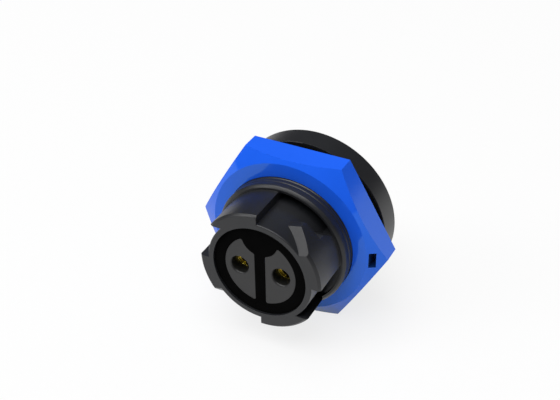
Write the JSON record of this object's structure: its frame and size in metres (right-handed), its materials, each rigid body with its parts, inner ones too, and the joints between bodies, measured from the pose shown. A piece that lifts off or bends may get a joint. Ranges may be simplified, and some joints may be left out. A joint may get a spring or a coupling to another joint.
{
  "type": "panel-mount circular power connector receptacle",
  "caption": "Round push-in, twist-lock power receptacle with D-shaped socket islands, ramped locking bodies, threaded shank, hexagon panel nut, gasket and solder cups.",
  "frame": {"origin": "on the mating axis, in the plane where the panel's rear face meets the gasket", "axes": "-Y along the mating axis, out of the mating face; +Z through the gap between the islands' keyhole, +X to the right seen from the front"},
  "size_m": [0.0352, 0.0305, 0.0304],
  "materials": {
    "shell_polyamide": "moulded black, semi-gloss",
    "nut_polyamide": "moulded blue, semi-gloss",
    "insert_pbt": "moulded dark grey, satin",
    "seal_rubber": "moulded black, matt",
    "gold_plate": "gold-plated brass",
    "spring_steel": "phosphated spring steel"
  },
  "bodies": {
    "receptacle": {"receptacle_shell": "shell_polyamide", "panel_gasket": "seal_rubber", "face_seal": "seal_rubber", "front_insert": "insert_pbt", "rear_insert": "insert_pbt", "retaining_ring": "spring_steel", "insert_o_ring": "seal_rubber", "socket_contact_left": "gold_plate", "contact_hood_left": "gold_plate", "contact_seal_left": "seal_rubber", "socket_contact_right": "gold_plate", "contact_hood_right": "gold_plate", "contact_seal_right": "seal_rubber"},
    "nut": {"hex_nut": "nut_polyamide"}
  },
  "joints": [
    {"name": "nut_travel", "type": "slide", "parent": "receptacle", "child": "nut", "axis": [0, -1, 0], "range_m": [0, 0.006]}
  ]
}
